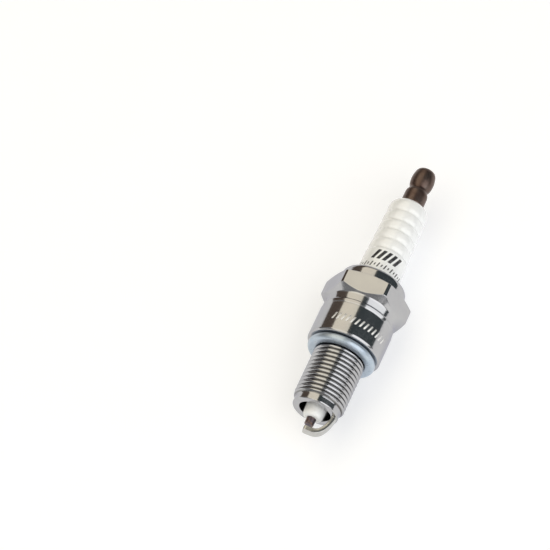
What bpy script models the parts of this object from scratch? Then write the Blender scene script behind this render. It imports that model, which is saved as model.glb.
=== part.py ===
"""Spark plug with a 14 mm thread and a 20.8 mm hexagon, as separate pieces.

The plug lies along +Y with its terminal at the +Y end, on one flat of its hexagon.
The origin is on the plug's axis, in the plane of the shell's seat for the gasket.
Sizes are in millimetres here and are turned into metres when a mesh is made.
"""

import math

import bmesh
import bpy
from mathutils import Vector

MM = 0.001
MERGE_DISTANCE = 1e-7
SHARP_ANGLE = math.radians(32)

# Clearances
GAP = 0.3

# Metal shell, outside
SHELL_END_Y = -19.0
PILOT_RADIUS = 6.2
PILOT_END_Y = -17.2
THREAD_START_Y = -17.2
THREAD_END_Y = -3.0
THREAD_PITCH = 1.25
THREAD_CREST_RADIUS = 6.95
THREAD_ROOT_RADIUS = 6.23
RELIEF_RADIUS = 6.15
BODY_RADIUS = 10.0
BODY_TOP_Y = 8.9
BEAD_RADIUS = 9.55
NECK_RADIUS = 9.25
HEX_HALF_WIDTH = 10.4
HEX_CORNER_RADIUS = 11.8
HEX_UNDERSIDE_Y = 12.5
HEX_LOWER_ARC_Y = 12.9
HEX_UPPER_ARC_Y = 18.3
HEX_LOWER_CHAMFER_SLOPE = 0.82
HEX_UPPER_CHAMFER_SLOPE = 0.43
COLLAR_RADIUS = 8.9
COLLAR_BASE_Y = 18.65
CRIMP_TOP_Y = 22.1
CRIMP_LIP_RADIUS = 6.15

# Metal shell, inside
SHELL_NOSE_BORE = 4.3
LEDGE_BORE = 3.95
LEDGE_BOTTOM_Y = -5.9
LEDGE_TOP_Y = -5.0
SHELL_CORE_BORE = 4.9
SHELL_MAIN_BORE = 7.3
SEAT_CONE_SLOPE = 0.842

# Insulator
NOSE_TIP_Y = -21.2
NOSE_RADIUS = 2.72
CORE_RADIUS = 4.6
FLANGE_RADIUS = 7.0
FLANGE_TOP_Y = 13.0
NECKED_RADIUS = 5.85
RIB_START_Y = 30.6
RIB_PITCH = 3.15
RIB_COUNT = 5
RIB_CREST_RADIUS = 5.65
RIB_CREST_TAPER = 0.07
RIB_GROOVE_DEPTH = 0.35
INSULATOR_TOP_Y = 47.9
UPPER_BORE = 2.2
LOWER_BORE = 1.55
BORE_STEP_Y = -7.7

# Centre column
CENTRE_TIP_Y = -23.05
CENTRE_RADIUS = 1.25
CENTRE_HEAD_RADIUS = 1.85
CENTRE_HEAD_TOP_Y = -6.2
COPPER_RADIUS = 0.65
COLUMN_RADIUS = 1.9
LOWER_SEAL_LENGTH = 2.0
RESISTOR_LENGTH = 10.0
UPPER_SEAL_LENGTH = 2.5
STUD_SHANK_RADIUS = 1.7
STUD_THREAD_RADIUS = 1.95
STUD_KNURL_LENGTH = 4.0
STUD_END_Y = 57.2

# Terminal nut
NUT_BASE_Y = 48.2
NUT_RADIUS = 3.1
NUT_NECK_RADIUS = 2.55
NUT_BULB_RADIUS = 3.15
NUT_TOP_Y = 59.7
NUT_TOP_RADIUS = 1.9
NUT_BORE = 2.3

# Packing round the insulator
RING_RADIUS = 6.575
RING_SECTION = 0.4
TALC_START_Y = 15.25
TALC_END_Y = 19.1
PACKING_INNER_RADIUS = 6.15
PACKING_OUTER_RADIUS = 7.0

# Gasket
GASKET_OUTER_RADIUS = 9.25
GASKET_INNER_RADIUS = 6.6
GASKET_THICKNESS = 1.9
GASKET_WALL = 0.45

# Ground electrode, in the plane of its hook: distance from the axis, then y
ELECTRODE_WIDTH = 2.7
ELECTRODE_THICKNESS = 1.3
ELECTRODE_ROOT = (5.15, SHELL_END_Y - GAP)
ELECTRODE_BEND = ((4.65, -21.9), (3.75, -24.6), (1.3, -24.6))
ELECTRODE_FREE_END = (-0.9, -24.6)
ELECTRODE_SIDE_ANGLE = math.radians(96)
ELECTRODE_BEND_STEPS = 12

SEGMENTS = 24
COLUMNS_PER_FLAT = 5

# name: (colour, roughness, metallic)
FINISHES = {
    "nickel_plating": ((0.72, 0.69, 0.63), 0.16, 1.0),
    "zinc_plating": ((0.62, 0.66, 0.70), 0.34, 1.0),
    "white_glaze": ((0.90, 0.90, 0.88), 0.12, 0.0),
    "dark_bronze": ((0.12, 0.085, 0.065), 0.22, 1.0),
    "bare_steel": ((0.50, 0.49, 0.47), 0.40, 1.0),
    "nickel_alloy": ((0.52, 0.49, 0.44), 0.28, 1.0),
    "dark_electrode": ((0.13, 0.11, 0.13), 0.38, 1.0),
    "copper": ((0.78, 0.38, 0.24), 0.30, 1.0),
    "glass_seal": ((0.30, 0.22, 0.17), 0.45, 0.0),
    "resistor_black": ((0.04, 0.04, 0.045), 0.70, 0.0),
    "talc_grey": ((0.70, 0.69, 0.66), 0.90, 0.0),
}


def clear_scene():
    for item in list(bpy.data.objects):
        bpy.data.objects.remove(item, do_unlink=True)


def make_finish(name):
    colour, roughness, metallic = FINISHES[name]
    material = bpy.data.materials.new(name)
    material.use_nodes = True
    shader = material.node_tree.nodes["Principled BSDF"]
    shader.inputs["Base Color"].default_value = (*colour, 1.0)
    shader.inputs["Roughness"].default_value = roughness
    shader.inputs["Metallic"].default_value = metallic
    material.diffuse_color = (*colour, 1.0)
    return material


def finish_object(name, bm, finish, origin=(0.0, 0.0, 0.0)):
    """Close the mesh, face it outwards, and put the object's origin at origin (mm)."""
    bmesh.ops.remove_doubles(bm, verts=bm.verts, dist=MERGE_DISTANCE)
    bmesh.ops.recalc_face_normals(bm, faces=bm.faces)
    shift = Vector(origin) * MM
    bmesh.ops.translate(bm, verts=bm.verts, vec=-shift)
    mesh = bpy.data.meshes.new(name)
    bm.to_mesh(mesh)
    bm.free()
    mesh.materials.append(make_finish(finish))
    mesh.shade_smooth()
    mesh.set_sharp_from_angle(angle=SHARP_ANGLE)
    piece = bpy.data.objects.new(name, mesh)
    piece.location = shift
    bpy.context.scene.collection.objects.link(piece)
    return piece


def on_axis(angle, y, radius):
    """A point at angle from +Z towards +X, at y along the plug, in metres."""
    return Vector((radius * math.sin(angle), y, radius * math.cos(angle))) * MM


def skin_rows(bm, rows):
    """Join rows of points, each running once round the axis, with faces."""
    made = [[bm.verts.new(point) for point in row] for row in rows]
    for lower, upper in zip(made, made[1:]):
        for column in range(len(lower) - 1):
            bm.faces.new((lower[column], lower[column + 1], upper[column + 1], upper[column]))


def even_angles(segments):
    return [math.tau * step / segments for step in range(segments + 1)]


def turned(name, profile, finish, segments=SEGMENTS):
    """A solid turned about the axis from a closed outline of (y, radius) points."""
    angles = even_angles(segments)
    bm = bmesh.new()
    closed = profile + profile[:1]
    skin_rows(bm, [[on_axis(angle, y, radius) for angle in angles] for y, radius in closed])
    return finish_object(name, bm, finish)


def arc(centre_y, centre_radius, size, start_deg, end_deg, steps):
    """Points of an arc in an outline; 0 degrees points outwards and 90 towards +Y."""
    points = []
    for step in range(steps + 1):
        angle = math.radians(start_deg + (end_deg - start_deg) * step / steps)
        points.append((centre_y + size * math.sin(angle), centre_radius + size * math.cos(angle)))
    return points


# Metal shell


def shell_angles():
    """Column angles with one column on each edge of the hexagon's flats."""
    edge = math.acos(HEX_HALF_WIDTH / HEX_CORNER_RADIUS)
    angles = []
    for flat in range(6):
        middle = math.radians(60) * flat
        for column in range(COLUMNS_PER_FLAT):
            share = 2 * column / (COLUMNS_PER_FLAT - 1) - 1
            angles.append(middle + edge * share)
    angles.append(angles[0] + math.tau)
    return angles


def hex_radius(angle):
    """Distance from the axis to the hexagon's surface, with its turned corners."""
    flat = round(angle / math.radians(60))
    off_middle = angle - flat * math.radians(60)
    return min(HEX_CORNER_RADIUS, HEX_HALF_WIDTH / math.cos(off_middle))


def hex_row(angles, flat_middle_y, slope):
    """The curved edge where a turned chamfer meets the hexagon's flats."""
    row = []
    for angle in angles:
        radius = hex_radius(angle)
        row.append(on_axis(angle, flat_middle_y + slope * (radius - HEX_HALF_WIDTH), radius))
    return row


def thread_rows(angles):
    """Right-handed thread that fades in and out over one pitch at its two ends."""
    length = THREAD_END_Y - THREAD_START_Y
    height = THREAD_CREST_RADIUS - THREAD_ROOT_RADIUS
    stations = ((0.0, 0.0), (0.25, 0.0), (0.5625, 1.0), (0.6875, 1.0))
    rows = []
    for turn in range(-1, math.ceil(length / THREAD_PITCH) + 1):
        for fraction, share in stations:
            row = []
            for angle in angles:
                along = THREAD_PITCH * (turn + fraction + (angle - angles[0]) / math.tau)
                along = min(max(along, 0.0), length)
                fade = min(1.0, along / THREAD_PITCH, (length - along) / THREAD_PITCH)
                radius = THREAD_ROOT_RADIUS + height * share * fade
                row.append(on_axis(angle, THREAD_START_Y + along, radius))
            rows.append(row)
    return rows


def shell_below_thread():
    return [
        (SHELL_END_Y, PILOT_RADIUS - 0.4),
        (SHELL_END_Y + 0.4, PILOT_RADIUS),
        (PILOT_END_Y - 0.15, PILOT_RADIUS),
    ]


def shell_between_thread_and_hex():
    return [
        (THREAD_END_Y + 0.2, RELIEF_RADIUS),
        (0.0, RELIEF_RADIUS),
        (0.0, BODY_RADIUS - 0.8),
        (0.3, BODY_RADIUS - 0.3),
        (1.0, BODY_RADIUS),
        (BODY_TOP_Y, BODY_RADIUS),
        (BODY_TOP_Y + 0.2, BODY_RADIUS - 0.3),
        (10.15, BODY_RADIUS - 0.25),
        (10.35, BEAD_RADIUS - 0.15),
        (10.6, BEAD_RADIUS),
        (12.0, BEAD_RADIUS),
        (12.25, NECK_RADIUS),
        (HEX_UNDERSIDE_Y, BEAD_RADIUS),
    ]


def shell_above_hex():
    collar = [
        (COLLAR_BASE_Y, COLLAR_RADIUS + 0.65),
        (COLLAR_BASE_Y + 0.1, COLLAR_RADIUS),
    ]
    shoulder = arc(CRIMP_TOP_Y - 1.5, COLLAR_RADIUS - 1.5, 1.5, 0, 90, 5)
    lip = [
        (CRIMP_TOP_Y, CRIMP_LIP_RADIUS + 0.4),
        (CRIMP_TOP_Y - 0.25, CRIMP_LIP_RADIUS),
    ]
    return collar + shoulder + lip


def shell_bore():
    cone_top_y = LEDGE_TOP_Y + SEAT_CONE_SLOPE * (SHELL_CORE_BORE - LEDGE_BORE)
    return [
        (CRIMP_TOP_Y - 0.9, CRIMP_LIP_RADIUS),
        (CRIMP_TOP_Y - 1.2, SHELL_MAIN_BORE - 0.4),
        (CRIMP_TOP_Y - 1.8, SHELL_MAIN_BORE),
        (2.6, SHELL_MAIN_BORE),
        (0.9, SHELL_CORE_BORE),
        (cone_top_y, SHELL_CORE_BORE),
        (LEDGE_TOP_Y, LEDGE_BORE),
        (LEDGE_BOTTOM_Y, LEDGE_BORE),
        (LEDGE_BOTTOM_Y - 0.4, SHELL_NOSE_BORE),
        (SHELL_END_Y + 0.25, SHELL_NOSE_BORE),
        (SHELL_END_Y, SHELL_NOSE_BORE + 0.25),
    ]


def make_metal_shell():
    angles = shell_angles()

    def rings(profile):
        return [[on_axis(angle, y, radius) for angle in angles] for y, radius in profile]

    rows = rings(shell_below_thread())
    rows += thread_rows(angles)
    rows += rings(shell_between_thread_and_hex())
    rows.append(hex_row(angles, HEX_LOWER_ARC_Y, HEX_LOWER_CHAMFER_SLOPE))
    rows.append(hex_row(angles, HEX_UPPER_ARC_Y, -HEX_UPPER_CHAMFER_SLOPE))
    rows += rings(shell_above_hex())
    rows += rings(shell_bore())
    rows.append(rows[0])
    bm = bmesh.new()
    skin_rows(bm, rows)
    return finish_object("metal_shell", bm, "nickel_plating")


# Insulator


def insulator_outside():
    seat_y = LEDGE_TOP_Y + 1.284
    nose = [
        (NOSE_TIP_Y, 1.8),
        (NOSE_TIP_Y + 0.2, 2.3),
        (NOSE_TIP_Y + 0.8, 2.62),
        (NOSE_TIP_Y + 1.6, NOSE_RADIUS),
        (-8.0, 3.35),
        (seat_y + SEAT_CONE_SLOPE * (3.55 - LEDGE_BORE), 3.55),
        (seat_y + SEAT_CONE_SLOPE * (CORE_RADIUS - LEDGE_BORE), CORE_RADIUS),
    ]
    flange = [
        (1.2, CORE_RADIUS),
        (2.95, FLANGE_RADIUS),
        (FLANGE_TOP_Y, FLANGE_RADIUS),
        (FLANGE_TOP_Y + 1.2, NECKED_RADIUS),
        (RIB_START_Y - 0.8, NECKED_RADIUS),
    ]
    return nose + flange


def insulator_ribs():
    """Five rounded ribs with a narrow groove under each."""
    points = []
    for rib in range(RIB_COUNT):
        groove_y = RIB_START_Y + rib * RIB_PITCH
        crest = RIB_CREST_RADIUS - RIB_CREST_TAPER * rib
        points.append((groove_y, crest - RIB_GROOVE_DEPTH))
        points.append((groove_y + 0.25 * RIB_PITCH, crest - 0.06))
        points.append((groove_y + 0.5 * RIB_PITCH, crest))
        points.append((groove_y + 0.75 * RIB_PITCH, crest - 0.06))
    return points


def insulator_inside():
    top = [
        (INSULATOR_TOP_Y - 1.3, 5.15),
        (INSULATOR_TOP_Y - 0.5, 4.4),
        (INSULATOR_TOP_Y, 3.4),
        (INSULATOR_TOP_Y, UPPER_BORE + 0.2),
        (INSULATOR_TOP_Y - 0.2, UPPER_BORE),
    ]
    bore = [
        (BORE_STEP_Y, UPPER_BORE),
        (BORE_STEP_Y - 0.5, LOWER_BORE),
        (NOSE_TIP_Y, LOWER_BORE),
    ]
    return top + bore


def make_insulator():
    profile = insulator_outside() + insulator_ribs() + insulator_inside()
    return turned("insulator", profile, "white_glaze")


# Centre column, from the firing end to the terminal


def rod(name, start_y, length, radius, finish):
    """A plain round rod with broken edges."""
    end_y = start_y + length
    edge = 0.1
    profile = [
        (start_y, 0.0),
        (start_y, radius - edge),
        (start_y + edge, radius),
        (end_y - edge, radius),
        (end_y, radius - edge),
        (end_y, 0.0),
    ]
    return turned(name, profile, finish)


def make_centre_electrode():
    """Nickel jacket with a head that rests on the step of the insulator's bore."""
    bore_radius = COPPER_RADIUS + GAP
    profile = [
        (CENTRE_TIP_Y, 0.0),
        (CENTRE_TIP_Y, CENTRE_RADIUS - 0.1),
        (CENTRE_TIP_Y + 0.1, CENTRE_RADIUS),
        (BORE_STEP_Y + 0.1, CENTRE_RADIUS),
        (BORE_STEP_Y + 0.55, CENTRE_HEAD_RADIUS),
        (CENTRE_HEAD_TOP_Y, CENTRE_HEAD_RADIUS),
        (CENTRE_HEAD_TOP_Y, bore_radius),
        (CENTRE_TIP_Y + 1.8, bore_radius),
        (CENTRE_TIP_Y + 1.8, 0.0),
    ]
    return turned("centre_electrode", profile, "dark_electrode")


def make_copper_core():
    start_y = CENTRE_TIP_Y + 1.8 + GAP
    return rod("copper_core", start_y, CENTRE_HEAD_TOP_Y - start_y, COPPER_RADIUS, "copper")


def make_column():
    """Lower glass seal, resistor and upper glass seal; returns where they end."""
    y = CENTRE_HEAD_TOP_Y + GAP
    rod("lower_glass_seal", y, LOWER_SEAL_LENGTH, COLUMN_RADIUS, "glass_seal")
    y += LOWER_SEAL_LENGTH + GAP
    rod("resistor", y, RESISTOR_LENGTH, COLUMN_RADIUS, "resistor_black")
    y += RESISTOR_LENGTH + GAP
    rod("upper_glass_seal", y, UPPER_SEAL_LENGTH, COLUMN_RADIUS, "glass_seal")
    return y + UPPER_SEAL_LENGTH + GAP


def make_terminal_stud(start_y):
    knurl_end_y = start_y + STUD_KNURL_LENGTH
    profile = [
        (start_y, 0.0),
        (start_y, COLUMN_RADIUS - 0.3),
        (start_y + 0.3, COLUMN_RADIUS),
        (knurl_end_y, COLUMN_RADIUS),
        (knurl_end_y + 0.2, STUD_SHANK_RADIUS),
        (NUT_BASE_Y - 0.5, STUD_SHANK_RADIUS),
        (NUT_BASE_Y - 0.3, STUD_THREAD_RADIUS),
        (STUD_END_Y - 0.4, STUD_THREAD_RADIUS),
        (STUD_END_Y, STUD_THREAD_RADIUS - 0.4),
        (STUD_END_Y, 0.0),
    ]
    return turned("terminal_stud", profile, "bare_steel")


def make_terminal_nut():
    """Barrel, neck and bulb that a plug cap snaps over, blind at the top."""
    base = NUT_BASE_Y
    profile = [
        (base, NUT_RADIUS - 0.2),
        (base + 0.2, NUT_RADIUS),
        (base + 3.7, NUT_RADIUS),
        (base + 4.1, NUT_RADIUS - 0.15),
        (base + 4.8, NUT_NECK_RADIUS),
        (base + 5.4, NUT_NECK_RADIUS),
        (base + 6.2, NUT_BULB_RADIUS - 0.3),
        (base + 7.1, NUT_BULB_RADIUS - 0.05),
        (base + 8.2, NUT_BULB_RADIUS),
        (base + 9.4, NUT_BULB_RADIUS - 0.1),
        (base + 10.5, NUT_BULB_RADIUS - 0.35),
        (base + 11.2, NUT_BULB_RADIUS - 0.75),
        (NUT_TOP_Y, NUT_TOP_RADIUS),
        (NUT_TOP_Y, 0.0),
        (NUT_TOP_Y - 1.1, 0.0),
        (STUD_END_Y + 2 * GAP, NUT_BORE),
        (base, NUT_BORE),
    ]
    return turned("terminal_nut", profile, "dark_bronze")


# Packing between the insulator and the shell


def make_wire_ring(name, centre_y):
    profile = arc(centre_y, RING_RADIUS, RING_SECTION, 0, 315, 7)
    return turned(name, profile, "bare_steel")


def make_talc_ring():
    profile = [
        (TALC_START_Y, PACKING_INNER_RADIUS),
        (TALC_START_Y, PACKING_OUTER_RADIUS),
        (TALC_END_Y, PACKING_OUTER_RADIUS),
        (TALC_END_Y, PACKING_INNER_RADIUS),
    ]
    return turned("talc_ring", profile, "talc_grey")


def make_packing_washer():
    """Conical washer between the shell's ledge and the insulator's seat."""
    lift = GAP * math.hypot(1.0, SEAT_CONE_SLOPE)
    thickness = 0.5
    inner_y = LEDGE_TOP_Y + lift
    outer_radius = CORE_RADIUS - 0.05
    outer_y = inner_y + SEAT_CONE_SLOPE * (outer_radius - LEDGE_BORE)
    profile = [
        (inner_y, LEDGE_BORE),
        (outer_y, outer_radius),
        (outer_y + thickness, outer_radius),
        (inner_y + thickness, LEDGE_BORE),
    ]
    return turned("packing_washer", profile, "bare_steel")


# Pieces on the outside


def make_gasket():
    """Crush washer folded from sheet, open towards the thread relief."""
    half = GASKET_THICKNESS / 2
    middle_y = -GAP - half
    bend_radius = GASKET_OUTER_RADIUS - half
    front_y = -GAP - GASKET_THICKNESS
    back_y = -GAP
    outer_bend = arc(middle_y, bend_radius, half, -90, 90, 8)
    inner_bend = arc(middle_y, bend_radius, half - GASKET_WALL, 90, -90, 6)
    profile = outer_bend
    profile += [(back_y, GASKET_INNER_RADIUS + 0.35)]
    profile += [(back_y - GASKET_WALL, GASKET_INNER_RADIUS + 0.35)]
    profile += inner_bend
    profile += [
        (front_y + GASKET_WALL, GASKET_INNER_RADIUS + GASKET_WALL),
        (middle_y + 0.25, GASKET_INNER_RADIUS + GASKET_WALL),
        (middle_y + 0.25, GASKET_INNER_RADIUS),
        (front_y + 0.3, GASKET_INNER_RADIUS),
        (front_y, GASKET_INNER_RADIUS + 0.3),
    ]
    return turned("gasket", profile, "zinc_plating", segments=30)


def bezier(p0, p1, p2, p3, share):
    rest = 1.0 - share
    weights = (rest ** 3, 3 * rest ** 2 * share, 3 * rest * share ** 2, share ** 3)
    points = (p0, p1, p2, p3)
    return Vector([sum(w * p[axis] for w, p in zip(weights, points)) for axis in range(2)])


def electrode_path():
    """Centre line of the hook as (distance from the axis, y)."""
    path = []
    for step in range(ELECTRODE_BEND_STEPS + 1):
        path.append(bezier(ELECTRODE_ROOT, *ELECTRODE_BEND, step / ELECTRODE_BEND_STEPS))
    path.append(Vector(ELECTRODE_FREE_END))
    return path


def electrode_section(centre, direction):
    """Corners of the bar's section, broken a little, at one point of the path."""
    outwards = Vector((math.sin(ELECTRODE_SIDE_ANGLE), 0.0, math.cos(ELECTRODE_SIDE_ANGLE)))
    sideways = Vector((math.cos(ELECTRODE_SIDE_ANGLE), 0.0, -math.sin(ELECTRODE_SIDE_ANGLE)))
    along_y = Vector((0.0, 1.0, 0.0))
    normal = outwards * -direction[1] + along_y * direction[0]
    middle = outwards * centre[0] + along_y * centre[1]
    half_width = ELECTRODE_WIDTH / 2
    half_thickness = ELECTRODE_THICKNESS / 2
    edge = 0.2
    corners = (
        (half_width, half_thickness - edge),
        (half_width - edge, half_thickness),
        (edge - half_width, half_thickness),
        (-half_width, half_thickness - edge),
        (-half_width, edge - half_thickness),
        (edge - half_width, -half_thickness),
        (half_width - edge, -half_thickness),
        (half_width, edge - half_thickness),
    )
    return [(middle + sideways * across + normal * out) * MM for across, out in corners]


def make_ground_electrode():
    """Flat bar bent over the centre electrode; its origin is where it is bent to set the gap."""
    path = electrode_path()
    bm = bmesh.new()
    rings = []
    for index, centre in enumerate(path):
        before = path[max(index - 1, 0)]
        after = path[min(index + 1, len(path) - 1)]
        direction = (after - before).normalized()
        if index == 0:
            direction = Vector((0.0, -1.0))
        rings.append([bm.verts.new(point) for point in electrode_section(centre, direction)])
    for lower, upper in zip(rings, rings[1:]):
        for corner in range(len(lower)):
            following = (corner + 1) % len(lower)
            bm.faces.new((lower[corner], lower[following], upper[following], upper[corner]))
    bm.faces.new(rings[0])
    bm.faces.new(rings[-1])
    root = on_axis(ELECTRODE_SIDE_ANGLE, ELECTRODE_ROOT[1], ELECTRODE_ROOT[0]) / MM
    return finish_object("ground_electrode", bm, "nickel_alloy", origin=root)


def main():
    clear_scene()
    make_metal_shell()
    make_insulator()
    make_centre_electrode()
    make_copper_core()
    stud_start_y = make_column()
    make_terminal_stud(stud_start_y)
    make_terminal_nut()
    make_packing_washer()
    make_wire_ring("lower_wire_ring", TALC_START_Y - GAP - RING_SECTION)
    make_talc_ring()
    make_wire_ring("upper_wire_ring", TALC_END_Y + GAP + RING_SECTION)
    make_gasket()
    make_ground_electrode()


main()
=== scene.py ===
"""The looks of the spark plug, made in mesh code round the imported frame.

Outlines are in millimetres, as (y along the plug, distance from its axis), and become
metres when a mesh is made. The plug's terminal is at the +Y end, as in the frame.
"""

import math

import bmesh
import bpy
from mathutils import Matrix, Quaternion, Vector


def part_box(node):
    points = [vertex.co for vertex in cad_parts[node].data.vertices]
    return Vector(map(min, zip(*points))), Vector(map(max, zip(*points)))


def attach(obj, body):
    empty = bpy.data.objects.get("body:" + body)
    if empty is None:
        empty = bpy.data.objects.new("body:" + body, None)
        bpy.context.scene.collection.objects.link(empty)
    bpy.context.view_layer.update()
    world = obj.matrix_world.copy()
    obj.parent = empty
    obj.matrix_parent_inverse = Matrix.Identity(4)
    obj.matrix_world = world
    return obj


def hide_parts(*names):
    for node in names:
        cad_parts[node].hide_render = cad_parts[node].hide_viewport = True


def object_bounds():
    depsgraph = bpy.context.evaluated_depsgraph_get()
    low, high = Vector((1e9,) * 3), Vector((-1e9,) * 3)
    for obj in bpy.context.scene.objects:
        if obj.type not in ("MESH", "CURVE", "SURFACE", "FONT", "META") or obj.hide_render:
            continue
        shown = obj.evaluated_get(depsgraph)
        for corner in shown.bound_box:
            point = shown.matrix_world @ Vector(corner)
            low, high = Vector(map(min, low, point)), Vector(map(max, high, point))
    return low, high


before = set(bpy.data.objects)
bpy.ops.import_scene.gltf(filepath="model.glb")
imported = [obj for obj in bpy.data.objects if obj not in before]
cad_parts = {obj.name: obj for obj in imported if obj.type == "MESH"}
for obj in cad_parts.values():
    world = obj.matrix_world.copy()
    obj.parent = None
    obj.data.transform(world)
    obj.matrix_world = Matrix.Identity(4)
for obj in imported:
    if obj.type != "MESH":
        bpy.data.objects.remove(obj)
cad_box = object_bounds()

MM = 0.001
MERGE_DISTANCE = 1e-7


def box_mm(node):
    low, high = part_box(node)
    return Vector(low) / MM, Vector(high) / MM


SHELL_LOW, SHELL_HIGH = box_mm("metal_shell")
INSULATOR_LOW, INSULATOR_HIGH = box_mm("insulator")
GASKET_LOW, GASKET_HIGH = box_mm("gasket")
NUT_LOW, NUT_HIGH = box_mm("terminal_nut")
STUD_LOW, STUD_HIGH = box_mm("terminal_stud")
CENTRE_LOW, CENTRE_HIGH = box_mm("centre_electrode")

# Shell
HEX_HALF_WIDTH = SHELL_HIGH.z
HEX_CORNER_RADIUS = 11.78
HEX_LOWER_ARC_Y = 12.9
HEX_UPPER_ARC_Y = 18.3
HEX_LOWER_SLOPE = 0.82
HEX_UPPER_SLOPE = 0.43
HEX_BLEND_RADIUS = 11.0
HEX_BLEND_SOFTNESS = 0.02
HEX_COLUMNS = 18
BODY_RADIUS = 10.0
BODY_TOP_Y = 8.9
BEAD_TOP_Y = 10.12
NECK_Y = 10.92
NECK_TOP_Y = 12.1
COLLAR_FOOT_Y = 18.62
COLLAR_RADIUS = 8.9
COLLAR_ROUNDING = 1.45
RELIEF_RADIUS = 6.15
CHAMBER_RADIUS = 7.3
SEAT_BORE_RADIUS = 4.9
LEDGE_RADIUS = 3.95
MOUTH_RADIUS = 4.3
PILOT_RADIUS = 6.2
PILOT_BEVEL = 0.22

# Shell thread
THREAD_START_Y = -17.2
THREAD_END_Y = -2.27
THREAD_PITCH = 1.25
THREAD_CREST_RADIUS = 6.95
THREAD_ROOT_RADIUS = 6.22
THREAD_ROUNDNESS = 0.78
THREAD_FADE_IN = 1.6
THREAD_FADE_OUT = 3.0

# Insulator
NECKED_RADIUS = 5.85
SHOULDER_RADIUS = 7.0
LOWER_SEAT_RADIUS = 4.6
STUD_BORE_RADIUS = 2.2
CORE_BORE_RADIUS = 1.55
TIP_BORE_RADIUS = 1.30
RIB_START_Y = 30.6
RIB_PITCH = 3.15
RIB_COUNT = 5
RIB_CREST_RADIUS = 5.65
RIB_CREST_TAPER = 0.07
RIB_GROOVE_DEPTH = 0.35

# Marks in rows: start and step in degrees round the axis, then sizes; heights are taken in turn
MARK_RELIEF = 0.012
SHELL_BARS = {"start": -24.0, "step": 7.4, "count": 13, "y": 4.4, "width": 0.5,
              "heights": (2.0,), "slant": 0.35}
INSULATOR_STRIPES = {"start": -18.5, "step": 15.5, "count": 5, "y": 27.75, "width": 0.95,
                     "heights": (2.9,), "slant": 0.45}
INSULATOR_TICKS = {"start": -58.0, "step": 9.5, "count": 15, "y": 24.6, "width": 0.32,
                   "heights": (1.4, 0.7), "slant": 0.3}

# Terminal nut
NUT_RADIUS = 3.1
NUT_NECK_RADIUS = 2.55
NUT_BULB_RADIUS = 3.14
NUT_TOP_RADIUS = 1.85
NUT_BORE_RADIUS = 2.3
NUT_TOP_THICKNESS = 1.1

# Stud, with an M4 thread
STUD_PITCH = 0.7
STUD_CREST_RADIUS = 1.95
STUD_ROOT_RADIUS = 1.62
STUD_ROUNDNESS = 0.9
STUD_SHANK_RADIUS = 1.7
STUD_GRIP_RADIUS = 1.9
STUD_GROOVE_RADIUS = 1.74
STUD_GROOVE_COUNT = 5
STUD_GROOVE_PITCH = 0.65

# Centre electrode
CENTRE_RADIUS = 1.25
CENTRE_HEAD_RADIUS = 1.85
CENTRE_CORE_RADIUS = 0.95
CENTRE_CAP_LENGTH = 1.8

# Gasket
GASKET_BACK_LIFT = 0.22
GASKET_WALL = 0.42
GASKET_OUTER_STEPS = 14
GASKET_INNER_STEPS = 10
# Unevenness: size, waves round the ring, and where they start; it fades past the soft radius
GASKET_WAVES = ((0.012, 3, 0.6), (0.008, 7, 2.0))
GASKET_SOFT_RADIUS = 7.6

# Ground electrode: points of its middle line are (distance from the axis, y)
HOOK_WIDTH = 2.7
HOOK_THICKNESS = 1.3
HOOK_ROOT = (5.15, SHELL_LOW.y - 0.3)
HOOK_BEND = ((4.65, -21.9), (3.75, -24.6), (1.3, -24.6))
HOOK_FREE_END = (-0.9, -24.6)
HOOK_SIDE_ANGLE = math.radians(96)
HOOK_EDGE_ROUNDING = 0.22
HOOK_END_ROUNDING = 0.55
HOOK_END_THINNING = 0.3
HOOK_BEND_STEPS = 40
HOOK_BAR_STEPS = 6
HOOK_END_STEPS = 7
WELD_ROUNDING = 0.3
# Weld: y from the shell's end, and how far it stands out round the bar
WELD_LAYERS = ((0.12, 0.17), (-0.02, 0.16), (-0.11, 0.13), (-0.18, 0.07), (-0.235, -0.04))

# Camera and floor; directions are degrees round from -Y towards +X, then degrees upwards
CAMERA_AIM = Vector((-25.1, 14.8, 0.0)) * MM
CAMERA_DISTANCE = 783.5 * MM
CAMERA_DIRECTION = (24.1, 58.4)
CAMERA_ROLL = math.radians(-1.6)
CAMERA_LENS = 196.4
CAMERA_SENSOR = 36.0
FLOOR_Z = cad_box[0].z
FLOOR_HALF_SIZE = 2.5

# Overhead light, in metres and watts
OVERHEAD_DIRECTION = (0, 88)
OVERHEAD_DISTANCE = 1.2
OVERHEAD_SIZE = 1.4
OVERHEAD_POWER = 1.0

# Light strips: angles round the plug, from +Z towards +X; reach is from y to y, in metres
STRIP_DISTANCE = 1.0
WARM_STRIP = {"angle": math.radians(-25.5), "half_angle": math.radians(24.5), "reach": (-2.2, 1.5),
              "radiance": 1.10, "colour": (1.0, 0.93, 0.755)}
WHITE_STRIP = {"angle": math.radians(47), "half_angle": math.radians(31), "reach": (-2.2, 0.42),
               "radiance": 1.42, "colour": (1.0, 1.0, 1.0)}

# Room round the plug
ROOM_BROWN = (0.13, 0.10, 0.08)
ROOM_SLATE = (0.062, 0.076, 0.080)
FRONT_WALL = (0.30, 0.30, 0.30)
FAR_WALL = (0.75, 0.75, 0.75)


# Meshes


def on_axis(angle, y, radius):
    return (radius * math.sin(angle) * MM, y * MM, radius * math.cos(angle) * MM)


def even_angles(count):
    return [math.tau * step / count for step in range(count + 1)]


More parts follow.
